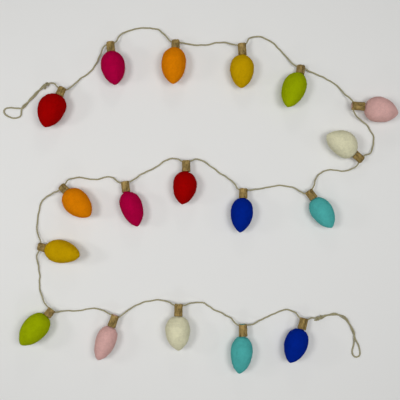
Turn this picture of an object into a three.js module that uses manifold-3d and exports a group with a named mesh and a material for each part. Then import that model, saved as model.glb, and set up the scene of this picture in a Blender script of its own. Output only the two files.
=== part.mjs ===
// Felt light garland, lying zig-zag on a flat surface at z = 0, in millimetres with +Z up.
// Eighteen solid bulbs of felted wool, each with a rolled felt cap, hang on one length of twine.
import * as THREE from 'three';
import { mergeVertices } from 'three/addons/utils/BufferGeometryUtils.js';
import Module from 'manifold-3d';

const wasm = await Module();
wasm.setup();

// Air between two pieces that touch in the real garland.
const FIT_GAP = 0.3;

// Twine: thickness, sides of its section, and where it goes through a cap.
const TWINE_RADIUS = 1.1;
const TWINE_SIDES = 8;
const HOLE_SIDES = 5;
const HOLE_FROM_RIM = 2.1;
const OUT_OF_CAP = 1.4;
const LEG_SPACING = 2.5;
const KNOT_SIZE = { long: 4.0, wide: 3.3, high: 3.2 };
const KNOT_FACETS = { around: 8, across: 5 };

// Bulb: neck inside the cap, facets round the body, and the depth lost to the flat spot it lies on.
const NECK_RADIUS = 3.6;
const BULB_FACETS = 10;
const FLAT_DEPTH = 0.8;

// Cap: a felt strip rolled once round the neck, rising over its own start and lapping it.
const STRIP_THICK = 1.1;
const ROLL_STEP_DEG = 45;
const ROLL_START_DEG = 20;
const LAP_DEG = 45;
const ROLL_RADIUS = (NECK_RADIUS + FIT_GAP) / Math.cos(THREE.MathUtils.degToRad(ROLL_STEP_DEG / 2));
const CAP_RADIUS = ROLL_RADIUS + STRIP_THICK;
const LAP_RADIUS = CAP_RADIUS + FIT_GAP + STRIP_THICK;

const COLOUR = {
  red: 0x8f0201, magenta: 0x9c0238, orange: 0xca7605,
  gold: 0xb79205, lime: 0x8da003, pink: 0xc19690,
  cream: 0xc8c4a6, turquoise: 0x3e9996, blue: 0x03207e,
  cap: 0x806b3f, twine: 0x9c9678,
};

// Outline of the felt body: share of its length from the cap, share of its half-width.
const OUTLINE = [
  { along: 0.00, half: 0.41 },
  { along: 0.12, half: 0.77 },
  { along: 0.29, half: 0.98 },
  { along: 0.50, half: 0.99 },
  { along: 0.72, half: 0.81 },
  { along: 0.90, half: 0.47 },
];

// One row a bulb, in twine order. x, y: where the felt starts below its cap.
// heading: plan angle of cap to tip. bow: sideways bulge of the middle.
// tilt: degrees that the tip is up and the cap down. cap: width of the cap's strip.
// nod: degrees that the neck turns the cap aside. out: the side on which the twine leaves, +1 to the left.
const BULB_COLUMNS = ['felt', 'x', 'y', 'heading', 'length', 'width', 'bow', 'tilt', 'cap', 'nod', 'out'];
const BULBS = [
  ['red', -198, 146, -111, 49, 38, -2, 12, 13, 0, 1],
  ['magenta', -125, 207, -81, 48, 34, 0.3, 10, 15, -2, 1],
  ['orange', -35, 212, -93, 53, 35, -0.7, 16, 13, 2, 1],
  ['gold', 59, 202, -92, 46, 34, 0.4, 5, 17, 5, 1],
  ['lime', 140, 176, -112, 53, 34, -0.8, 17, 13, 12, 1],
  ['pink', 231, 130, -12, 46, 36, 0.4, 4, 18, 7, -1],
  ['cream', 216, 66, 149, 47, 36, -3, 10, 15, -8, 1],
  ['turquoise', 160, 1, -59, 47, 31, 0.5, 9, 14, 3, -1],
  ['blue', 60, 2, -95, 48, 32, 0.3, 8, 14, 3, -1],
  ['red', -20, 39, -96, 46, 34, 1, 8, 16, 6, -1],
  ['magenta', -104, 10, -70, 50, 31, 1.2, 8, 15, -12, -1],
  ['orange', -187, 11, -44, 49, 36, -0.4, 12, 12, 0, -1],
  ['gold', -216, -69, -9, 52, 33, 0.5, 16, 12, -5, -1],
  ['lime', -216, -163, -131, 51, 35, -0.5, 15, 12, 2, 1],
  ['pink', -125, -178, -111, 49, 29, 0.4, 5, 17, 2, 1],
  ['cream', -31, -163, -89, 47, 35, -0.4, 6, 17, -3, 1],
  ['turquoise', 60, -192, -96, 51, 31, 0.6, 4, 17, 7, 1],
  ['blue', 142, -182, -111, 48, 33, -0.4, 10, 16, 6, 1],
].map((row) => Object.fromEntries(BULB_COLUMNS.map((column, i) => [column, row[i]])));

// Twine between one cap and the next: x, y and height of its middle. It sags to the surface.
const SPANS = [
  [[-180, 162, 6], [-168, 174, 2], [-156, 182, 1.4], [-145, 198, 2.5]],
  [[-112, 234, 5], [-93, 243, 1.4], [-75, 245, 1.4], [-56, 240, 3]],
  [[-18, 221, 4.5], [4, 220, 1.4], [31, 224, 3]],
  [[69, 228, 7.5], [83, 232, 3], [100, 226, 1.4], [119, 207, 2.5]],
  [[157, 181, 4.5], [178, 173, 1.4], [195, 162, 1.4], [207, 147, 7]],
  [[224, 116, 6.5], [240, 103, 1.4], [247, 87, 1.4], [242, 67, 6]],
  [[221, 47, 9.5], [205, 41, 3], [182, 43, 1.4], [167, 35, 2.5]],
  [[138, 15, 5], [115, 21, 1.4], [91, 17, 2.5]],
  [[48, 24, 6], [25, 41, 1.4], [6, 54, 3], [-9, 58, 8]],
  [[-30, 58, 8.5], [-47, 57, 2.5], [-62, 47, 1.4], [-84, 36, 3.5]],
  [[-126, 33, 3.5], [-151, 29, 1.4], [-172, 32, 3], [-186, 29, 7.5]],
  [[-211, 8, 5.5], [-224, 0, 2], [-230, -23, 1.4], [-231, -44, 3.5]],
  [[-231, -75, 6], [-228, -102, 1.4], [-228, -125, 1.4], [-221, -143, 5.5]],
  [[-194, -157, 5], [-177, -158, 1.4], [-152, -154, 1.4], [-134, -157, 6.5]],
  [[-106, -159, 6], [-85, -147, 1.4], [-63, -142, 2], [-43, -144, 9]],
  [[-16, -146, 8.5], [4, -146, 2], [20, -156, 1.4], [42, -166, 5]],
  [[75, -175, 7], [94, -167, 1.4], [120, -156, 2], [135, -159, 6]],
];

// The two ends: knot and its turn, twine from the knot to the nearest cap, doubled legs, eye, and cut tail.
const START = {
  knot: [-218, 163, 3.4],
  turn: 32,
  lead: [[-211, 165.5, 5], [-204, 164.5, 9]],
  legs: [[-227, 157, 1.3], [-252, 131, 1.3]],
  eye: [
    [-271, 131, 1.3], [-278.5, 129, 1.3], [-279.5, 123, 1.3],
    [-273, 119, 1.3], [-261, 116, 1.3], [-255, 119, 1.3],
  ],
  tail: [-221.3, 157.6, 1.3],
};
const END = {
  knot: [169, -167, 3.4],
  turn: 10,
  lead: [[158, -166, 7]],
  legs: [[179, -164, 1.3], [191, -162, 1.3], [205, -167, 1.3], [217, -185, 1.3], [220.5, -200, 1.3]],
  eye: [
    [226, -208, 1.3], [228.5, -216, 1.3], [226, -223.5, 1.3],
    [219, -224, 1.3], [216, -217, 1.3], [217.5, -208, 1.3],
  ],
  tail: [162, -171, 1.3],
};

const radians = THREE.MathUtils.degToRad;
const vector = (row) => new THREE.Vector3(...row);

// A closed solid from a surface whose edges are still split along its seams.
function solidOf(surface) {
  const bare = new THREE.BufferGeometry();
  bare.setAttribute('position', surface.getAttribute('position'));
  bare.setIndex(surface.getIndex());
  const welded = mergeVertices(bare);
  const index = welded.getIndex().array;
  const kept = [];
  for (let i = 0; i < index.length; i += 3) {
    const [a, b, c] = index.slice(i, i + 3);
    if (a !== b && b !== c && c !== a) kept.push(a, b, c);
  }
  return new wasm.Manifold(new wasm.Mesh({
    numProp: 3,
    vertProperties: Float32Array.from(welded.getAttribute('position').array),
    triVerts: Uint32Array.from(kept),
  }));
}

// The named piece that shows a solid in one colour.
function pieceOf(name, solid, colour) {
  const { vertProperties, triVerts } = solid.getMesh();
  const surface = new THREE.BufferGeometry();
  surface.setAttribute('position', new THREE.BufferAttribute(Float32Array.from(vertProperties), 3));
  surface.setIndex(new THREE.BufferAttribute(Uint32Array.from(triVerts), 1));
  surface.computeVertexNormals();
  const piece = new THREE.Mesh(surface, new THREE.MeshStandardMaterial({ color: colour, roughness: 1 }));
  piece.name = name;
  return piece;
}

// How a bulb lies: directions along it, to its left and up out of it, and the point where its felt starts.
function lieOf(bulb) {
  const heading = radians(bulb.heading);
  const tilt = radians(bulb.tilt);
  const level = new THREE.Vector3(Math.cos(heading), Math.sin(heading), 0);
  const zenith = new THREE.Vector3(0, 0, 1);
  const along = level.clone().multiplyScalar(Math.cos(tilt)).addScaledVector(zenith, Math.sin(tilt));
  const up = zenith.clone().multiplyScalar(Math.cos(tilt)).addScaledVector(level, -Math.sin(tilt));
  const left = up.clone().cross(along);
  const depths = OUTLINE.map(({ along: share, half }) =>
    half * bulb.width / 2 * Math.cos(tilt) - share * bulb.length * Math.sin(tilt));
  const neck = new THREE.Vector3(bulb.x, bulb.y, Math.max(...depths) - FLAT_DEPTH);
  return { along, left, up, neck };
}

// Length of a bulb's neck: its cap's width, and the room that the cap needs where the neck turns it aside.
function stemOf(bulb) {
  return bulb.cap + LAP_RADIUS * Math.tan(Math.abs(radians(bulb.nod)));
}

// How the cap on a bulb lies: its directions, the middle of its rim, and the needle hole near that rim.
function capLieOf(bulb) {
  const body = lieOf(bulb);
  const nod = radians(bulb.nod);
  const along = body.along.clone().multiplyScalar(Math.cos(nod)).addScaledVector(body.left, Math.sin(nod));
  const left = body.up.clone().cross(along);
  const rim = body.neck.clone().addScaledVector(along, -stemOf(bulb));
  const hole = rim.clone().addScaledVector(along, HOLE_FROM_RIM);
  return { along, left, up: body.up, rim, hole };
}

// Moves a surface so that its own three axes point in the directions given, from the point given.
function laid(surface, xTo, yTo, zTo, from) {
  return surface.applyMatrix4(new THREE.Matrix4().makeBasis(xTo, yTo, zTo).setPosition(from));
}

// The needle hole through a cap and its neck.
function needleHole(bulb) {
  const { along, left, up, hole } = capLieOf(bulb);
  const radius = (TWINE_RADIUS + FIT_GAP) / Math.cos(Math.PI / HOLE_SIDES);
  const surface = new THREE.CylinderGeometry(radius, radius, 4 * CAP_RADIUS, HOLE_SIDES);
  return solidOf(laid(surface, along, left, up, hole));
}

// A felted bulb: neck and body turned in one outline, with the neck turned aside, the body bowed,
// and a flat spot where it lies.
function feltBulb(bulb) {
  const stem = stemOf(bulb);
  const outline = [
    new THREE.Vector2(0, -stem),
    new THREE.Vector2(NECK_RADIUS, -stem),
    new THREE.Vector2(NECK_RADIUS, FIT_GAP),
    ...OUTLINE.map(({ along, half }) =>
      new THREE.Vector2(half * bulb.width / 2, Math.max(along * bulb.length, FIT_GAP))),
    new THREE.Vector2(0, bulb.length),
  ];
  const cornerBelow = Math.PI / BULB_FACETS;
  const surface = new THREE.LatheGeometry(outline, BULB_FACETS, cornerBelow);
  const points = surface.getAttribute('position');
  const nod = radians(bulb.nod);
  for (let i = 0; i < points.count; i += 1) {
    const ahead = points.getY(i);
    const aside = points.getZ(i);
    if (ahead < 0) {
      points.setY(i, ahead * Math.cos(nod) - aside * Math.sin(nod));
      points.setZ(i, aside * Math.cos(nod) + ahead * Math.sin(nod));
    } else {
      points.setZ(i, aside + bulb.bow * Math.sin(Math.PI * ahead / bulb.length));
    }
  }
  const { along, left, up, neck } = lieOf(bulb);
  const body = solidOf(laid(surface, up, along, left, neck));
  return body.trimByPlane([0, 0, 1], 0).subtract(needleHole(bulb));
}

// A cap: the strip's rolled end view, drawn out over the strip's width.
function rolledCap(bulb) {
  const inner = [];
  const outer = [];
  for (let turn = 0; turn <= 360 + LAP_DEG; turn += ROLL_STEP_DEG) {
    const lifted = turn >= 360 ? STRIP_THICK + FIT_GAP : 0;
    const angle = radians(ROLL_START_DEG + turn);
    const spoke = new THREE.Vector2(Math.cos(angle), Math.sin(angle));
    inner.push(spoke.clone().multiplyScalar(ROLL_RADIUS + lifted));
    outer.push(spoke.clone().multiplyScalar(CAP_RADIUS + lifted));
  }
  const endView = new THREE.Shape([...outer, ...inner.reverse()]);
  const surface = new THREE.ExtrudeGeometry(endView, { depth: bulb.cap, bevelEnabled: false });
  const { along, left, up, rim } = capLieOf(bulb);
  return solidOf(laid(surface, left, up, along, rim)).subtract(needleHole(bulb));
}

// A route that turns only at the points given.
class Route extends THREE.Curve {
  constructor(points) {
    super();
    this.points = points;
  }

  getPoint(share, target = new THREE.Vector3()) {
    const place = share * (this.points.length - 1);
    const first = Math.min(Math.floor(place), this.points.length - 2);
    return target.copy(this.points[first]).lerp(this.points[first + 1], place - first);
  }

  getUtoTmapping(share) {
    return share;
  }
}

function twineAlong(points) {
  const section = new THREE.Shape();
  section.absarc(0, 0, TWINE_RADIUS, 0, 2 * Math.PI);
  const round = new THREE.Shape(section.getSpacedPoints(TWINE_SIDES).slice(0, TWINE_SIDES));
  const steps = points.length - 1;
  const extrudePath = new Route(points);
  return solidOf(new THREE.ExtrudeGeometry(round, { steps, extrudePath, bevelEnabled: false }));
}

// Legs of a loop, drawn to one side of the line that the two of them share.
function legBeside(knot, legs, side) {
  return legs.map((leg, i) => {
    const before = i > 0 ? legs[i - 1] : knot;
    const after = legs[Math.min(i + 1, legs.length - 1)];
    const across = new THREE.Vector3(before.y - after.y, after.x - before.x, 0).normalize();
    return leg.clone().addScaledVector(across, side * LEG_SPACING / 2);
  });
}

// One end of the twine: out along a leg, round the eye, back along the other leg, and the knot with its tail.
function hangingLoop({ knot, turn, legs, eye, tail }) {
  const middle = vector(knot);
  const shared = legs.map(vector);
  const back = legBeside(middle, shared, -1).reverse();
  const strand = twineAlong([middle, ...legBeside(middle, shared, 1), ...eye.map(vector), ...back, middle]);
  const lump = new THREE.SphereGeometry(1, KNOT_FACETS.around, KNOT_FACETS.across);
  lump.rotateX(Math.PI / 2).scale(KNOT_SIZE.long, KNOT_SIZE.wide, KNOT_SIZE.high);
  lump.rotateZ(radians(turn)).translate(...knot);
  return strand.add(solidOf(lump)).add(twineAlong([middle, vector(tail)]));
}

function wholeTwine() {
  const points = [vector(START.knot), ...START.lead.map(vector)];
  BULBS.forEach((bulb, i) => {
    const { hole, left } = capLieOf(bulb);
    const reach = bulb.out * (CAP_RADIUS + OUT_OF_CAP);
    points.push(hole.clone().addScaledVector(left, -reach), hole.clone().addScaledVector(left, reach));
    points.push(...(SPANS[i] ?? END.lead).map(vector));
  });
  points.push(vector(END.knot));
  return twineAlong(points).add(hangingLoop(START)).add(hangingLoop(END));
}

const garland = new THREE.Group();
garland.name = 'garland';
BULBS.forEach((bulb, i) => {
  const number = String(i + 1).padStart(2, '0');
  garland.add(pieceOf(`bulb_${number}`, feltBulb(bulb), COLOUR[bulb.felt]));
  garland.add(pieceOf(`cap_${number}`, rolledCap(bulb), COLOUR.cap));
});
garland.add(pieceOf('twine', wholeTwine(), COLOUR.twine));

export default garland;
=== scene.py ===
"""Felt light garland laid zig-zag on a pale table, seen from straight above. All sizes are in metres."""

import math

import bpy
import numpy as np
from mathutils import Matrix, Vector, noise


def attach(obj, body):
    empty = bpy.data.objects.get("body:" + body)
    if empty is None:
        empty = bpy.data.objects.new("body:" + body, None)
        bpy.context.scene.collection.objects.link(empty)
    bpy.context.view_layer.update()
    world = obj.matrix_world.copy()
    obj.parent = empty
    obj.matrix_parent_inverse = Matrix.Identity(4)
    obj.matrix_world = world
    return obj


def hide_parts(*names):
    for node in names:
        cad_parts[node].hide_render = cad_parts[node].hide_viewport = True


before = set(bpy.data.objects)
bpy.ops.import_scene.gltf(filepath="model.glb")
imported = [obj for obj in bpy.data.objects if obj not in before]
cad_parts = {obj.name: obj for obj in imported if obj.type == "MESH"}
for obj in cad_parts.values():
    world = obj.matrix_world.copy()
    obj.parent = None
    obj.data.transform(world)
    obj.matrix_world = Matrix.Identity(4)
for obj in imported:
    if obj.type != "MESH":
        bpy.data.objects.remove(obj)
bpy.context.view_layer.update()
chance = np.random.default_rng(18)

# Camera: height above the table, and half the width that it sees at the bulbs' height.
CAMERA_UP = 0.900
BULB_LEVEL = 0.015
HALF_VIEW = 0.280

# Twine: its thickness, its three plies and their twist, and how each ply swells and thins along its run.
TWINE_THICK = 0.0022
PLIES = 3
PLY_SIDES = 6
PLY_THICK = 0.00123
PLY_FROM_MIDDLE = 0.00051
TURN_OF_PLIES = 0.0093
PLY_SWELL = 0.12
SHORT_SWELL = 0.0031
LONG_SWELL = 0.0107
SWELL_SHIFT = 2.1

# Loose bast on the twine: number of fibres, their lengths, lift, curl and thickness, and where they root.
LOOSE_BAST = 2600
BAST_LENGTHS = (0.0014, 0.0038)
BAST_LIFT = (0.08, 0.32)
BAST_CURL = 0.05
BAST_THICK = 0.00009
BAST_FROM_MIDDLE = 0.0009

# How the twine lies: the step along its line, the length over which it turns in the open and inside a knot,
# and the small sideways bends that it keeps from the ball.
TWINE_STEP = 0.0008
STEPS_BETWEEN_POINTS = 24
TWINE_EASE = 0.0036
KNOT_EASE = 0.0010
WAVER_LENGTH = 0.009
WAVER_WIDTH = 0.0011
WAVER_SHIFT = 0.0108

# Where the twine goes through a cap, and its middle's height where it lies flat.
HOLE_FROM_RIM = 0.0021
OUT_OF_CAP = 0.0009
ON_TABLE = 0.0012

# Doubled legs of a hanging loop: height of their shared middle, and each leg's distance from it.
LEGS_HEIGHT = 0.0023
LEG_FROM_MIDDLE = TWINE_THICK * 0.52

# Knot: half its length, how far the standing part runs straight, the radius at which the twine's end goes
# round it, and how far off the twine starts to bend freely again.
KNOT_HALF = 0.0044
KNOT_STRAIGHT = KNOT_HALF * 0.75
WRAP_RADIUS = 0.0022
KNOT_REACH = 0.0066

# The end's way through a knot: over the standing part, under it, and back across its own first turn.
# Shares of the half-length towards the loop, and of the radius to the left and up.
KNOT_WAY = [
    (0.95, -0.95, -0.45), (0.40, -0.80, 0.65), (0.00, 0.00, 1.05), (-0.45, 0.80, 0.65),
    (-0.70, 0.90, -0.35), (-0.80, 0.00, -1.00), (-0.65, -0.90, -0.35), (-0.35, -0.75, 0.85),
    (0.00, 0.00, 2.00), (0.40, 0.85, 1.00), (0.70, 1.10, -0.20),
]

# A loose fibre: share of its length from the root and share of its thickness at each ring of three corners.
FIBRE_RINGS = [(0.0, 1.0), (0.35, 0.85), (0.7, 0.6)]
FIBRE_CORNERS = (0.0, 2.1, 4.2)

# How loose fibre lies on felt: least lift, sideways curl, droop back to the surface, and spread of lengths.
FUZZ_LIFT = 0.1
FUZZ_CURL = 0.7
FUZZ_DROOP = 0.15
FUZZ_SPREAD = (0.4, 1.3)

# Bulb: neck inside its cap with a softened end, and depth lost to the flat spot that it lies on.
NECK_RADIUS = 0.0036
NECK_INSET = NECK_RADIUS * 0.3
NECK_SOFT_END = 0.0006
NECK_BELOW_CAP = 0.0010
NECK_TOP = 0.0002
FLAT_DEPTH = 0.0008
BULB_SIDES = 20

# Felt of a bulb: size and height of its broad lumps, of its fine ones and of the folds drawn in by the neck,
# how fast the folds fade and the lumps begin along the body, and the loose wool.
BROAD_LUMPS = {"size": 0.013, "height": 0.0005}
FINE_LUMPS = {"size": 0.0034, "height": 0.00025}
NECK_FOLDS = {"size": (0.012, 0.012, 0.0022), "height": 0.0004}
FOLDS_FADE = 2.2
LUMPS_BEGIN = 8
BULB_FUZZ = {"count": 1100, "length": 0.0032, "rise": 0.7, "thick": 0.00007}

# Cap: a felt strip rolled once round the neck, lapped over its own start and pushed out a little at the
# bulb, with its own lumps, nap and loose wool.
STRIP_THICK = 0.0011
STRIP_SQUARES = {"x_subdivisions": 44, "y_subdivisions": 6}
ROLL_RADIUS = 0.0041
ROLL_MIDDLE = ROLL_RADIUS + STRIP_THICK / 2
ROLL_START = math.radians(20)
ROLL_TURN = math.radians(405)
ROLL_RISE = math.radians(60)
LAP_GAP = 0.0002
CAP_FLARE = 0.0004
FLARE_LENGTH = 0.003
CAP_RADIUS = ROLL_RADIUS + STRIP_THICK
CAP_LUMPS = {"size": 0.005, "height": 0.00025}
CAP_NAP = {"size": 0.0016, "height": 0.00015}
CAP_FUZZ = {"count": 260, "length": 0.0022, "rise": 0.7, "thick": 0.00006}

# Outline of the felt body: share of its length from the cap, share of its half-width.
OUTLINE = [
    (0.012, 0.42), (0.04, 0.55), (0.08, 0.67), (0.13, 0.79), (0.19, 0.885), (0.26, 0.955), (0.33, 0.99),
    (0.40, 1.00), (0.48, 0.985), (0.58, 0.94), (0.68, 0.85), (0.78, 0.72), (0.87, 0.53), (0.94, 0.33),
    (0.98, 0.17), (1.00, 0.05),
]

# One row a bulb, in twine order: felt, place where the felt starts below its cap, plan angle of cap to tip,
# length and width of the felt, sideways bulge, degrees that the cap is down, width of the cap's strip,
# degrees that the neck turns the cap aside, and the side on which the twine leaves.
BULB_COLUMNS = ("felt", "x", "y", "heading", "length", "width", "bow", "tilt", "cap", "nod", "out")
BULB_ROWS = [
    ("red", -0.198, 0.146, -111, 0.049, 0.038, -0.0020, 12, 0.013, 0, 1),
    ("magenta", -0.125, 0.207, -81, 0.048, 0.034, 0.0003, 10, 0.015, -2, 1),
    ("orange", -0.035, 0.212, -93, 0.053, 0.035, -0.0007, 16, 0.013, 2, 1),
    ("gold", 0.059, 0.202, -92, 0.046, 0.034, 0.0004, 5, 0.017, 5, 1),
    ("lime", 0.140, 0.176, -112, 0.053, 0.034, -0.0008, 17, 0.013, 12, 1),
    ("pink", 0.231, 0.130, -12, 0.046, 0.036, 0.0004, 4, 0.018, 7, -1),
    ("cream", 0.216, 0.066, 149, 0.047, 0.036, -0.0030, 10, 0.015, -8, 1),
    ("turquoise", 0.160, 0.001, -59, 0.047, 0.031, 0.0005, 9, 0.014, 3, -1),
    ("blue", 0.060, 0.002, -95, 0.048, 0.032, 0.0003, 8, 0.014, 3, -1),
    ("red", -0.020, 0.039, -96, 0.046, 0.034, 0.0010, 8, 0.016, 6, -1),
    ("magenta", -0.104, 0.010, -70, 0.050, 0.031, 0.0012, 8, 0.015, -12, -1),
    ("orange", -0.187, 0.011, -44, 0.049, 0.036, -0.0004, 12, 0.012, 0, -1),
    ("gold", -0.216, -0.069, -9, 0.052, 0.033, 0.0005, 16, 0.012, -5, -1),
    ("lime", -0.216, -0.163, -131, 0.051, 0.035, -0.0005, 15, 0.012, 2, 1),
    ("pink", -0.125, -0.178, -111, 0.049, 0.029, 0.0004, 5, 0.017, 2, 1),
    ("cream", -0.031, -0.163, -89, 0.047, 0.035, -0.0004, 6, 0.017, -3, 1),
    ("turquoise", 0.060, -0.192, -96, 0.051, 0.031, 0.0006, 4, 0.017, 7, 1),
    ("blue", 0.142, -0.182, -111, 0.048, 0.033, -0.0004, 10, 0.016, 6, 1),
]
BULBS = [dict(zip(BULB_COLUMNS, row)) for row in BULB_ROWS]

# Twine between one cap and the next: points on its middle.
SPANS = [
    [(-0.180, 0.162, 0.006), (-0.168, 0.174, 0.002), (-0.156, 0.182, 0.0014), (-0.145, 0.198, 0.0025)],
    [(-0.112, 0.234, 0.005), (-0.093, 0.243, 0.0014), (-0.075, 0.245, 0.0014), (-0.056, 0.240, 0.003)],
    [(-0.018, 0.221, 0.0045), (0.004, 0.220, 0.0014), (0.031, 0.224, 0.003)],
    [(0.069, 0.228, 0.0075), (0.083, 0.232, 0.003), (0.100, 0.226, 0.0014), (0.119, 0.207, 0.0025)],
    [(0.157, 0.181, 0.0045), (0.178, 0.173, 0.0014), (0.195, 0.162, 0.0014), (0.207, 0.147, 0.007)],
    [(0.224, 0.116, 0.0065), (0.240, 0.103, 0.0014), (0.247, 0.087, 0.0014), (0.242, 0.067, 0.006)],
    [(0.221, 0.047, 0.0095), (0.205, 0.041, 0.003), (0.182, 0.043, 0.0014), (0.167, 0.035, 0.0025)],
    [(0.138, 0.015, 0.005), (0.115, 0.021, 0.0014), (0.091, 0.017, 0.0025)],
    [(0.048, 0.024, 0.006), (0.025, 0.041, 0.0014), (0.006, 0.054, 0.003), (-0.009, 0.058, 0.008)],
    [(-0.030, 0.058, 0.0085), (-0.047, 0.057, 0.0025), (-0.062, 0.047, 0.0014), (-0.084, 0.036, 0.0035)],
    [(-0.126, 0.033, 0.0035), (-0.151, 0.029, 0.0014), (-0.172, 0.032, 0.003), (-0.186, 0.029, 0.0075)],
    [(-0.211, 0.008, 0.0055), (-0.224, 0.000, 0.002), (-0.230, -0.023, 0.0014), (-0.231, -0.044, 0.0035)],
    [(-0.231, -0.075, 0.006), (-0.228, -0.102, 0.0014), (-0.228, -0.125, 0.0014), (-0.221, -0.143, 0.0055)],
    [(-0.194, -0.157, 0.005), (-0.177, -0.158, 0.0014), (-0.152, -0.154, 0.0014), (-0.134, -0.157, 0.0065)],
    [(-0.106, -0.159, 0.006), (-0.085, -0.147, 0.0014), (-0.063, -0.142, 0.002), (-0.043, -0.144, 0.009)],
    [(-0.016, -0.146, 0.0085), (0.004, -0.146, 0.002), (0.020, -0.156, 0.0014), (0.042, -0.166, 0.005)],
    [(0.075, -0.175, 0.007), (0.094, -0.167, 0.0014), (0.120, -0.156, 0.002), (0.135, -0.159, 0.006)],
]

# The two ends: knot, twine from the knot to the nearest cap, doubled legs, open eye, cut tail, and the turns
# that the legs make round each other.
START = {
    "knot": (-0.218, 0.163, 0.0034),
    "lead": [(-0.211, 0.1655, 0.005), (-0.204, 0.1645, 0.009)],
    "legs": [(-0.227, 0.157), (-0.252, 0.131)],
    "eye": [
        (-0.271, 0.131), (-0.2785, 0.129), (-0.2795, 0.123),
        (-0.273, 0.119), (-0.261, 0.116), (-0.255, 0.119),
    ],
    "tail": [(-0.2213, 0.1576, 0.0012)],
    "turns": 1.0,
}
END = {
    "knot": (0.169, -0.167, 0.0034),
    "lead": [(0.158, -0.166, 0.007)],
    "legs": [(0.179, -0.164), (0.191, -0.162), (0.205, -0.167), (0.217, -0.185), (0.2205, -0.200)],
    "eye": [
        (0.226, -0.208), (0.2285, -0.216), (0.226, -0.2235),
        (0.219, -0.224), (0.216, -0.217), (0.2175, -0.208),
    ],
    "tail": [(0.172, -0.1656, 0.0012), (0.169, -0.170, 0.0013), (0.162, -0.171, 0.0012)],
    "turns": 2.0,
}

# Dyed wool, tan felt and straw-coloured bast, as they look in even light.
FELT = {
    "red": (0.33, 0.0004, 0.0003), "magenta": (0.40, 0.0004, 0.047), "orange": (0.68, 0.205, 0.001),
    "gold": (0.53, 0.32, 0.001), "lime": (0.31, 0.385, 0.001), "pink": (0.66, 0.395, 0.365),
    "cream": (0.69, 0.665, 0.46), "turquoise": (0.076, 0.41, 0.39), "blue": (0.0004, 0.017, 0.256),
}
CAP_TAN = (0.290, 0.202, 0.072)
TWINE_STRAW = (0.40, 0.365, 0.225)
TABLE_PAINT = (0.78, 0.78, 0.765)
TABLE_WIDTH = 6

# Finishes of matted fibre: darkest and lightest tone as shares of the colour, how closely blotches and wisps
# are set along each axis, and how strong the grain is.
TWINE_FINISH = {
    "dark": 0.6, "light": 1.25, "blotches": (120, 2400, 7), "wisps": (400, 6000, 7), "grain": 0.6,
}
BULB_FINISH = {
    "dark": 0.87, "light": 1.10, "blotches": (90, 90, 90), "wisps": (520, 520, 520), "grain": 0.55,
}
CAP_FINISH = {
    "dark": 0.22, "light": 1.75, "blotches": (230, 90, 9), "wisps": (1500, 350, 9), "grain": 0.7,
}

# In every finish: where the tones begin and end in the mix of blotches and wisps, depth of the grain, and
# how much lighter the nap is than the fibre.
TONES_FROM = 0.36
TONES_TO = 0.64
GRAIN_DEPTH = 0.0006
NAP_LIGHT = 1.4

# Light: an even room, soft lamps overhead and high on both sides, and weak low lamps all round.
ROOM_LIGHT = 0.09
LAMPS = [
    {"at": (0.22, 0.00, 1.50), "size": 0.80, "power": 7.0},
    {"at": (-0.60, 0.00, 1.20), "size": 0.35, "power": 5.2},
    {"at": (0.55, 0.00, 1.30), "size": 0.40, "power": 3.7},
    {"at": (-0.75, 0.00, 0.45), "size": 0.12, "power": 0.60},
    {"at": (0.75, 0.00, 0.50), "size": 0.12, "power": 0.25},
    {"at": (0.00, 0.75, 0.50), "size": 0.12, "power": 0.35},
    {"at": (0.00, -0.75, 0.50), "size": 0.12, "power": 0.35},
]


def look_down():
    """Camera, straight above the middle of the table."""
    bpy.ops.object.camera_add(location=(0, 0, CAMERA_UP), rotation=(0, 0, 0))
    camera = bpy.context.object
    camera.data.angle = 2 * math.atan(HALF_VIEW / (CAMERA_UP - BULB_LEVEL))
    bpy.context.scene.camera = camera


def lie_of(bulb):
    """Directions along a bulb's body, to its left and up out of it, and the point where its felt starts."""
    heading, tilt = math.radians(bulb["heading"]), math.radians(bulb["tilt"])
    level = Vector((math.cos(heading), math.sin(heading), 0))
    along = level * math.cos(tilt) + Vector((0, 0, math.sin(tilt)))
    up = Vector((0, 0, math.cos(tilt))) - level * math.sin(tilt)
    wide, long = bulb["width"] / 2 * math.cos(tilt), bulb["length"] * math.sin(tilt)
    depth = max(half * wide - share * long for share, half in OUTLINE)
    return along, up.cross(along), up, Vector((bulb["x"], bulb["y"], depth - FLAT_DEPTH))


def stem_of(bulb):
    """Length of a bulb's neck: its cap's width, and the room that the cap needs where the neck turns it."""
    return bulb["cap"] + CAP_RADIUS * math.tan(abs(math.radians(bulb["nod"])))


def cap_lie_of(bulb):
    """Directions along a bulb's cap, to its left and up out of it, and the middle of its rim."""
    along, left, up, neck = lie_of(bulb)
    nod = math.radians(bulb["nod"])
    cap_along = along * math.cos(nod) + left * math.sin(nod)
    return cap_along, up.cross(cap_along), up, neck - cap_along * stem_of(bulb)


def smooth_line(points, step):
    """Points a step apart on a smooth line through the given ones."""
    points = [Vector(p) for p in points]
    points = [2 * points[0] - points[1]] + points + [2 * points[-1] - points[-2]]
    fine = []
    for a, b, c, d in zip(points, points[1:], points[2:], points[3:]):
        ta = (b - a).length ** 0.5
        tb = ta + (c - b).length ** 0.5
        tc = tb + (d - c).length ** 0.5
        for k in range(STEPS_BETWEEN_POINTS):
            t = ta + (tb - ta) * k / STEPS_BETWEEN_POINTS
            ab = a + (b - a) * (t / ta)
            bc = b + (c - b) * ((t - ta) / (tb - ta))
            cd = c + (d - c) * ((t - tb) / (tc - tb))
            ac = ab + (bc - ab) * (t / tb)
            bd = bc + (cd - bc) * ((t - ta) / (tc - ta))
            fine.append(ac + (bd - ac) * ((t - ta) / (tb - ta)))
    fine = np.array(fine + [points[-2]])
    run = run_along(fine)
    even = np.linspace(0, run[-1], int(run[-1] / step) + 1)
    return np.stack([np.interp(even, run, fine[:, k]) for k in range(3)], axis=1)


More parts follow.
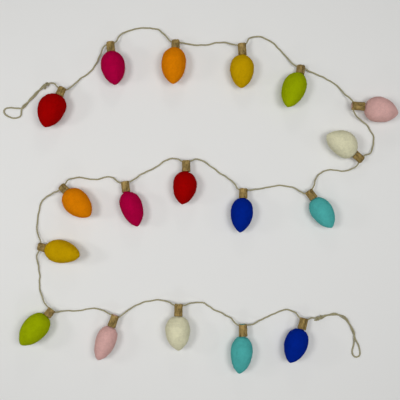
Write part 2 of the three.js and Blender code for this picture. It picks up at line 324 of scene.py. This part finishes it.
def run_along(line):
    """Length of a line from its start to each of its points."""
    return np.concatenate([[0], np.cumsum(np.linalg.norm(np.diff(line, axis=0), axis=1))])


def rounded(line, ease):
    """The line with its turns drawn round over a given length."""
    reach = int(3 * ease / TWINE_STEP)
    weights = np.exp(-0.5 * (np.arange(-reach, reach + 1) * TWINE_STEP / ease) ** 2)
    longer = np.pad(line, ((reach, reach), (0, 0)), mode="edge")
    return np.stack([np.convolve(longer[:, k], weights / weights.sum(), "valid") for k in range(3)], axis=1)


def eased(line):
    """The line with its turns drawn round as twine bends, less so in the knots, and with small bends."""
    knots = [np.array(end["knot"]) for end in (START, END)]
    from_knot = np.min([np.linalg.norm(line - knot, axis=1) for knot in knots], axis=0)
    free = np.clip(from_knot / KNOT_REACH - 1, 0, 1)[:, None]
    line = rounded(line, KNOT_EASE) * (1 - free) + rounded(line, TWINE_EASE) * free
    sideways = unit(np.cross(np.gradient(line, axis=0), (0, 0, 1)))
    run = run_along(line)
    waver = lumps(np.stack([run, run * 0 + WAVER_SHIFT, run * 0], axis=1), WAVER_LENGTH, WAVER_WIDTH)
    return line + sideways * free * waver[:, None]


def hanging_loop(end):
    """Points from the knot along one leg, round the eye, back along the other leg, and through the knot."""
    knot = Vector(end["knot"])
    zenith = Vector((0, 0, 1))
    legs = [Vector((x, y, LEGS_HEIGHT)) for x, y in end["legs"]]
    outward = (legs[0] - knot).to_2d().normalized().to_3d()
    across = Vector((-outward.y, outward.x, 0))
    shared = smooth_line([knot + outward * KNOT_HALF, *legs], 2 * TWINE_THICK)
    there, back = [], []
    for k, point in enumerate(shared[1:], 1):
        way = Vector(shared[min(k + 1, len(shared) - 1)] - shared[k - 1]).normalized()
        side = Vector((-way.y, way.x, 0))
        turn = 2 * math.pi * end["turns"] * k / (len(shared) - 1)
        aside = (side * math.cos(turn) + zenith * math.sin(turn)) * LEG_FROM_MIDDLE
        there.append(Vector(point) + aside)
        back.append(Vector(point) - aside)
    eye = [Vector((x, y, ON_TABLE)) for x, y in end["eye"]]
    way_round = [
        knot + outward * KNOT_HALF * ahead + (across * left + zenith * up) * WRAP_RADIUS
        for ahead, left, up in KNOT_WAY
    ]
    core = [knot - outward * KNOT_HALF, knot, knot + outward * KNOT_STRAIGHT]
    return core + there + eye + back[::-1] + way_round + [Vector(point) for point in end["tail"]]


def twine_line():
    """The middle of the whole twine, from one cut end to the other."""
    points = hanging_loop(START)[::-1] + [Vector(p) for p in START["lead"]]
    for bulb, span in zip(BULBS, SPANS + [END["lead"]]):
        along, left, _, rim = cap_lie_of(bulb)
        hole = rim + along * HOLE_FROM_RIM
        reach = left * bulb["out"] * (CAP_RADIUS + OUT_OF_CAP)
        points += [hole - reach, hole, hole + reach] + [Vector(p) for p in span]
    return eased(smooth_line(points + hanging_loop(END), TWINE_STEP))


def cross_frames(line):
    """Two directions square to a line at each of its points, turning as little as they can."""
    ways = unit(np.gradient(line, axis=0))
    side = np.cross(ways[0], (0, 0, 1.0))
    sides = []
    for way in ways:
        side = side - way * (side @ way)
        side /= np.linalg.norm(side)
        sides.append(side)
    sides = np.array(sides)
    return ways, sides, np.cross(ways, sides)


def unit(rows):
    """Each row as a direction, one unit long."""
    return rows / (np.linalg.norm(rows, axis=1)[:, None] + 1e-12)


def strand(middle, sides, ups, radius, corners):
    """Points and faces of one closed strand, with a ring of corners at each point of its middle."""
    angles = np.arange(corners) * 2 * math.pi / corners
    spokes = np.cos(angles)[None, :, None] * sides[:, None] + np.sin(angles)[None, :, None] * ups[:, None]
    points = (middle[:, None] + spokes * radius[:, None, None]).reshape(-1, 3)
    faces = []
    for ring in range(len(middle) - 1):
        for corner in range(corners):
            a, b = ring * corners + corner, ring * corners + (corner + 1) % corners
            faces.append((a, b, b + corners, a + corners))
    faces.append(tuple(reversed(range(corners))))
    faces.append(tuple(range(len(points) - corners, len(points))))
    return points, faces


def loose_fibres(roots, ways, curls, lengths, thick):
    """Points and faces of fine tapered fibres, each curling away from its root."""
    across = unit(np.cross(ways, curls))
    over = np.cross(ways, across)
    rings = []
    for share, taper in FIBRE_RINGS:
        middle = roots + ways * (lengths * share)[:, None] + curls * (lengths * share**2)[:, None]
        for angle in FIBRE_CORNERS:
            rings.append(middle + (across * math.cos(angle) + over * math.sin(angle)) * thick * taper / 2)
    rings.append(roots + ways * lengths[:, None] + curls * lengths[:, None])
    points = np.stack(rings, axis=1).reshape(-1, 3)
    pattern = [(0, 2, 1)]
    for ring in (0, 3):
        for corner in range(3):
            a, b = ring + corner, ring + (corner + 1) % 3
            pattern.append((a, b, b + 3, a + 3))
    pattern += [(6, 7, 9), (7, 8, 9), (8, 6, 9)]
    firsts = [len(rings) * k for k in range(len(roots))]
    faces = [tuple(corner + first for corner in face) for first in firsts for face in pattern]
    return points, faces


def gathered(parts):
    """Several sets of points and faces as one."""
    points, faces, first = [], [], 0
    for part_points, part_faces in parts:
        points.append(part_points)
        faces += [tuple(corner + first for corner in face) for face in part_faces]
        first += len(part_points)
    points = np.concatenate(points)
    points[:, 2] = np.maximum(points[:, 2], 0)
    return points, faces


def fuzz_on(points, faces, count, length, rise, thick):
    """Loose fibres that lie on a surface and lift off it a little, spread evenly over its area."""
    corners = np.array([face[:3] for face in faces] + [(f[0], f[2], f[3]) for f in faces if len(f) == 4])
    a, b, c = (points[corners[:, k]] for k in range(3))
    normal = np.cross(b - a, c - a)
    area = np.linalg.norm(normal, axis=1)
    pick = chance.choice(len(corners), count, p=area / area.sum())
    u, v = chance.random(count), chance.random(count)
    flip = u + v > 1
    u[flip], v[flip] = 1 - u[flip], 1 - v[flip]
    roots = a[pick] + (b - a)[pick] * u[:, None] + (c - a)[pick] * v[:, None]
    normal = unit(normal[pick])
    lying = unit(np.cross(normal, unit(chance.normal(size=(count, 3)))))
    ways = unit(lying + normal * chance.uniform(FUZZ_LIFT, rise, count)[:, None])
    aside = np.cross(normal, lying) * chance.uniform(-FUZZ_CURL, FUZZ_CURL, count)[:, None]
    curls = aside - normal * FUZZ_DROOP
    lengths = length * chance.uniform(*FUZZ_SPREAD, count)
    return loose_fibres(roots - normal * thick, ways, curls, lengths, thick)


def refill(piece, points, faces, material, lay=None):
    """Gives a piece new points and faces in one finish, with each point's place in the cloth where known."""
    mesh = piece.data
    mesh.clear_geometry()
    mesh.from_pydata(points.tolist(), [], faces)
    mesh.polygons.foreach_set("use_smooth", [True] * len(mesh.polygons))
    mesh.materials.clear()
    mesh.materials.append(material)
    if lay is not None:
        mesh.attributes.new("lay", "FLOAT_VECTOR", "POINT").data.foreach_set("vector", lay.ravel())


def lay_twine(material):
    """Three plies twisted round the laid line, with loose ends of bast along it."""
    line = twine_line()
    ways, sides, ups = cross_frames(line)
    run = run_along(line)
    parts, lays = [], []
    for ply in range(PLIES):
        turn = 2 * math.pi * (run / TURN_OF_PLIES + ply / PLIES)
        middle = line + PLY_FROM_MIDDLE * (np.cos(turn)[:, None] * sides + np.sin(turn)[:, None] * ups)
        short_swell = np.sin(run / SHORT_SWELL + ply * SWELL_SHIFT)
        swell = 1 + PLY_SWELL * short_swell * np.sin(run / LONG_SWELL + ply)
        parts.append(strand(middle, sides, ups, PLY_THICK / 2 * swell, PLY_SIDES))
        around = np.tile(np.arange(PLY_SIDES) * PLY_THICK / 2, len(line))
        lays.append(np.stack([np.repeat(run, PLY_SIDES), around, np.full(len(around), ply)], axis=1))
    spot = chance.integers(2, len(line) - 2, LOOSE_BAST)
    around = chance.uniform(0, 2 * math.pi, LOOSE_BAST)
    off = np.cos(around)[:, None] * sides[spot] + np.sin(around)[:, None] * ups[spot]
    lift = chance.uniform(*BAST_LIFT, LOOSE_BAST)
    fibre_ways = unit(ways[spot] * chance.choice([-1, 1], LOOSE_BAST)[:, None] + off * lift[:, None])
    lengths = chance.uniform(*BAST_LENGTHS, LOOSE_BAST)
    roots = line[spot] + off * BAST_FROM_MIDDLE
    fibres = loose_fibres(roots, fibre_ways, -off * BAST_CURL, lengths, BAST_THICK)
    parts.append(fibres)
    lays.append(fibres[0])
    bpy.ops.object.select_all(action="DESELECT")
    bpy.ops.mesh.primitive_circle_add(vertices=PLY_SIDES, radius=TWINE_THICK / 2)
    piece = bpy.context.object
    piece.name = piece.data.name = "twine_laid"
    refill(piece, *gathered(parts), material, np.concatenate(lays))
    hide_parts("twine")
    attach(piece, "root")


def mesh_arrays(piece):
    """A piece's points and faces, as rows."""
    mesh = piece.data
    points = np.empty(len(mesh.vertices) * 3)
    mesh.vertices.foreach_get("co", points)
    return points.reshape(-1, 3), [tuple(polygon.vertices) for polygon in mesh.polygons]


def in_order(points, faces):
    """The same points and faces numbered by their places, because extruding numbers them anew each time."""
    order = np.lexsort(points.T)
    number = np.argsort(order)
    renumbered = []
    for face in faces:
        corners = [int(number[corner]) for corner in face]
        first = corners.index(min(corners))
        renumbered.append(tuple(corners[first:] + corners[:first]))
    return points[order], sorted(renumbered)


def outward_at(piece, points):
    """Writes points into a piece's mesh, and gives the outward direction at each."""
    mesh = piece.data
    mesh.vertices.foreach_set("co", points.ravel())
    mesh.update()
    outward = np.empty(len(points) * 3)
    mesh.vertices.foreach_get("normal", outward)
    return outward.reshape(-1, 3)


def finished_with(piece, kind, **settings):
    """Adds a modifier to a piece, and applies it."""
    bpy.context.view_layer.objects.active = piece
    modifier = piece.modifiers.new(kind.title(), kind)
    for key, value in settings.items():
        setattr(modifier, key, value)
    bpy.ops.object.modifier_apply(modifier=modifier.name)


def placed(points, lie):
    """Points given as (left, up, along), put where the bulb or its cap lies."""
    along, left, up, start = lie
    return points @ np.array([left, up, along]) + np.array(start)


def lumps(points, size, height):
    """How far hand-made felt stands out at each point, for lumps of one size or a size along each axis."""
    return np.array([noise.noise(Vector(p)) for p in points / np.array(size)]) * height


def felt_bulb(name, bulb, material):
    """Neck and body drawn out of a disc ring by ring, smoothed, bowed, made lumpy and flattened below."""
    stem, length, half_width = stem_of(bulb), bulb["length"], bulb["width"] / 2
    bpy.ops.object.select_all(action="DESELECT")
    bpy.ops.mesh.primitive_circle_add(
        vertices=BULB_SIDES, radius=NECK_RADIUS, fill_type="NGON", location=(0, 0, -stem)
    )
    piece = bpy.context.object
    piece.name = piece.data.name = name
    bpy.ops.object.transform_apply(location=True)
    bpy.ops.object.mode_set(mode="EDIT")
    bpy.ops.mesh.inset(thickness=NECK_INSET)
    bpy.ops.mesh.select_all(action="SELECT")
    neck_heights = (NECK_SOFT_END - stem, -stem / 2, -NECK_BELOW_CAP, NECK_TOP)
    rings = [(height, NECK_RADIUS) for height in neck_heights]
    rings += [(share * length, half * half_width) for share, half in OUTLINE]
    height, radius = -stem, NECK_RADIUS
    for next_height, next_radius in rings:
        bpy.ops.mesh.extrude_region_move(TRANSFORM_OT_translate={"value": (0, 0, next_height - height)})
        grow = next_radius / radius
        bpy.ops.transform.resize(value=(grow, grow, 1), center_override=(0, 0, next_height))
        height, radius = next_height, next_radius
    bpy.ops.mesh.select_all(action="SELECT")
    bpy.ops.mesh.normals_make_consistent(inside=False)
    bpy.ops.object.mode_set(mode="OBJECT")
    refill(piece, *in_order(*mesh_arrays(piece)), material)
    finished_with(piece, "SUBSURF", levels=2, render_levels=2)
    points, faces = mesh_arrays(piece)
    share = np.clip(points[:, 2] / length, 0, 1)
    near_neck = np.clip(1 - share * FOLDS_FADE, 0, 1)
    drawn_in = lumps(points + np.array([bulb["x"], bulb["y"], 0]), **NECK_FOLDS) * near_neck
    turn = math.radians(bulb["nod"]) * np.clip(-points[:, 2] / NECK_RADIUS, 0, 1)
    aside, ahead = points[:, 0].copy(), points[:, 2].copy()
    points[:, 0] = aside * np.cos(turn) + ahead * np.sin(turn) + bulb["bow"] * np.sin(math.pi * share)
    points[:, 2] = ahead * np.cos(turn) - aside * np.sin(turn)
    points = placed(points, lie_of(bulb))
    outward = outward_at(piece, points)
    body = np.clip(share * LUMPS_BEGIN, 0, 1)
    uneven = lumps(points, **BROAD_LUMPS) + lumps(points, **FINE_LUMPS) + drawn_in
    points = points + outward * (uneven * body)[:, None]
    points[:, 2] = np.maximum(points[:, 2], 0)
    fuzz = fuzz_on(points, faces, **BULB_FUZZ)
    refill(piece, *gathered([(points, faces), fuzz]), material)
    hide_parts(name.replace("felt_", ""))
    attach(piece, "root")
    return piece


def rolled_cap(name, bulb, material):
    """A strip rolled round the neck, rising over its own start, with felt's thickness and soft edges."""
    cap = bulb["cap"]
    bpy.ops.object.select_all(action="DESELECT")
    bpy.ops.mesh.primitive_grid_add(**STRIP_SQUARES, size=1)
    piece = bpy.context.object
    piece.name = piece.data.name = name
    points, _ = mesh_arrays(piece)
    turn = (points[:, 0] + 0.5) * ROLL_TURN
    rise = np.clip((turn - 2 * math.pi + ROLL_RISE) / ROLL_RISE, 0, 1)
    rise = rise * rise * (3 - 2 * rise)
    height = (points[:, 1] + 0.5) * cap
    pushed_out = CAP_FLARE * np.exp((height - cap) / FLARE_LENGTH)
    radius = ROLL_MIDDLE + rise * (STRIP_THICK + LAP_GAP) + pushed_out
    angle = ROLL_START + turn
    rolled = np.stack([radius * np.cos(angle), radius * np.sin(angle), height], axis=1)
    outward_at(piece, rolled)
    finished_with(piece, "SOLIDIFY", thickness=STRIP_THICK, offset=0)
    finished_with(piece, "SUBSURF", levels=1, render_levels=1)
    points, faces = mesh_arrays(piece)
    around = np.arctan2(points[:, 1], points[:, 0]) * CAP_RADIUS
    lay = np.stack([around, points[:, 2], np.full(len(points), bulb["x"])], axis=1)
    points = placed(points, cap_lie_of(bulb))
    outward = outward_at(piece, points)
    points = points + outward * (lumps(points, **CAP_LUMPS) + lumps(points, **CAP_NAP))[:, None]
    points[:, 2] = np.maximum(points[:, 2], 0)
    fuzz = fuzz_on(points, faces, **CAP_FUZZ)
    refill(piece, *gathered([(points, faces), fuzz]), material, np.concatenate([lay, fuzz[0]]))
    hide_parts(name.replace("rolled_", ""))
    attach(piece, "root")


def shaded(colour, factor):
    """A colour made darker or lighter."""
    return tuple(min(channel * factor, 1) for channel in colour) + (1,)


def fibre_finish(name, colour, dark, light, blotches, wisps, grain, along_lay=False):
    """Matted fibre: soft blotches of colour, finer wisps over them, a rough grain and a faint nap."""
    material = bpy.data.materials.new(name)
    material.use_nodes = True
    nodes, links = material.node_tree.nodes, material.node_tree.links
    shader = nodes["Principled BSDF"]
    if along_lay:
        place = nodes.new("ShaderNodeAttribute")
        place.attribute_name = "lay"
        where = place.outputs["Vector"]
    else:
        where = nodes.new("ShaderNodeTexCoord").outputs["Object"]
    layers = []
    for scale, detail in ((blotches, 4), (wisps, 6)):
        stretch = nodes.new("ShaderNodeMapping")
        stretch.inputs["Scale"].default_value = scale
        wool = nodes.new("ShaderNodeTexNoise")
        wool.inputs["Scale"].default_value = 1
        wool.inputs["Detail"].default_value = detail
        wool.inputs["Roughness"].default_value = 0.6
        wool.inputs["Distortion"].default_value = 0.8
        links.new(where, stretch.inputs["Vector"])
        links.new(stretch.outputs["Vector"], wool.inputs["Vector"])
        layers.append(wool.outputs["Fac"])
    both = nodes.new("ShaderNodeMath")
    both.operation = "ADD"
    half = nodes.new("ShaderNodeMath")
    half.operation = "MULTIPLY"
    half.inputs[1].default_value = 0.5
    tones = nodes.new("ShaderNodeValToRGB")
    tones.color_ramp.elements[0].position = TONES_FROM
    tones.color_ramp.elements[0].color = shaded(colour, dark)
    tones.color_ramp.elements[1].position = TONES_TO
    tones.color_ramp.elements[1].color = shaded(colour, light)
    rough = nodes.new("ShaderNodeBump")
    rough.inputs["Strength"].default_value = grain
    rough.inputs["Distance"].default_value = GRAIN_DEPTH
    links.new(layers[0], both.inputs[0])
    links.new(layers[1], both.inputs[1])
    links.new(both.outputs[0], half.inputs[0])
    links.new(half.outputs[0], tones.inputs["Fac"])
    links.new(tones.outputs["Color"], shader.inputs["Base Color"])
    links.new(layers[1], rough.inputs["Height"])
    links.new(rough.outputs["Normal"], shader.inputs["Normal"])
    shader.inputs["Roughness"].default_value = 0.95
    shader.inputs["Specular IOR Level"].default_value = 0.02
    shader.inputs["Sheen Weight"].default_value = 0.08
    shader.inputs["Sheen Roughness"].default_value = 0.6
    shader.inputs["Sheen Tint"].default_value = shaded(colour, NAP_LIGHT)
    return material


def table_and_light():
    """A pale table, an even room and soft lamps."""
    scene = bpy.context.scene
    scene.view_settings.view_transform = "Standard"
    bpy.ops.mesh.primitive_plane_add(size=TABLE_WIDTH)
    table = bpy.context.object
    table.name = "table"
    paint = bpy.data.materials.new("pale_table")
    paint.use_nodes = True
    shader = paint.node_tree.nodes["Principled BSDF"]
    shader.inputs["Base Color"].default_value = (*TABLE_PAINT, 1)
    shader.inputs["Roughness"].default_value = 0.9
    shader.inputs["Specular IOR Level"].default_value = 0.1
    table.data.materials.append(paint)
    world = bpy.data.worlds.new("soft_room")
    world.use_nodes = True
    world.node_tree.nodes["Background"].inputs["Color"].default_value = (1, 1, 1, 1)
    world.node_tree.nodes["Background"].inputs["Strength"].default_value = ROOM_LIGHT
    scene.world = world
    for row in LAMPS:
        bpy.ops.object.light_add(type="AREA", location=row["at"])
        lamp = bpy.context.object
        lamp.rotation_euler = (-Vector(row["at"])).to_track_quat("-Z", "Y").to_euler()
        lamp.data.size = row["size"]
        lamp.data.energy = row["power"]
        lamp.visible_camera = False


look_down()
lay_twine(fibre_finish("twine_fibre", TWINE_STRAW, **TWINE_FINISH, along_lay=True))
felts = {felt: fibre_finish("felted_" + felt, colour, **BULB_FINISH) for felt, colour in FELT.items()}
tan_felt = fibre_finish("cap_felt_strip", CAP_TAN, **CAP_FINISH, along_lay=True)
for number, bulb in enumerate(BULBS, 1):
    bulb_piece = felt_bulb(f"felt_bulb_{number:02d}", bulb, felts[bulb["felt"]])
    rolled_cap(f"rolled_cap_{number:02d}", bulb, tan_felt)
table_and_light()
